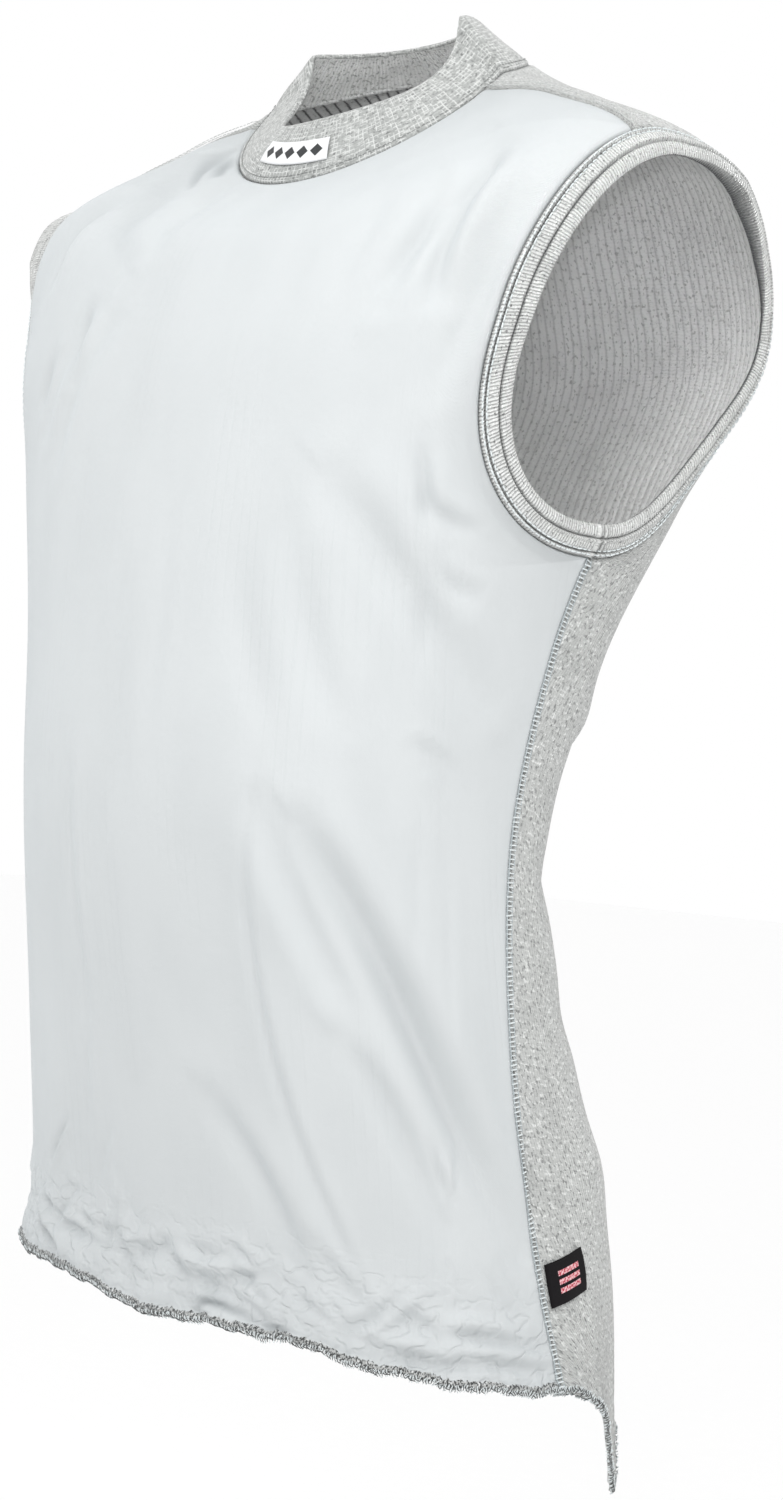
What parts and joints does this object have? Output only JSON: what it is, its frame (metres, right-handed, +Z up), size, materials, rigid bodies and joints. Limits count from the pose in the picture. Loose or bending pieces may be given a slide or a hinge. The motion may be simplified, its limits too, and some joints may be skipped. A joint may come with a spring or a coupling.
{
  "type": "sleeveless windbreaker",
  "caption": "Sleeveless sports top, worn on nobody: windproof front, knitted back with a drop tail, low stand collar and ribbed armhole bands.",
  "frame": {"origin": "midway between the two ends of the neck seam on top of the shoulders, where the wearer holds the garment up", "axes": "+Z up, the garment faces -Y, the wearer's left side is +X"},
  "size_m": [0.437, 0.3003, 0.7614],
  "materials": {
    "windproof_white": "smooth windproof cloth with a faint sheen",
    "grey_melange": "matte melange knit",
    "rib_band": "matte ribbed knit",
    "label_white": "matte woven label",
    "tag_black": "matte woven tag"
  },
  "bodies": {
    "root": {"front_panel": "windproof_white", "back_panel": "grey_melange", "collar": "grey_melange", "armhole_band_left": "rib_band", "armhole_band_right": "rib_band", "collar_label": "label_white", "side_tag": "tag_black"}
  },
  "joints": []
}
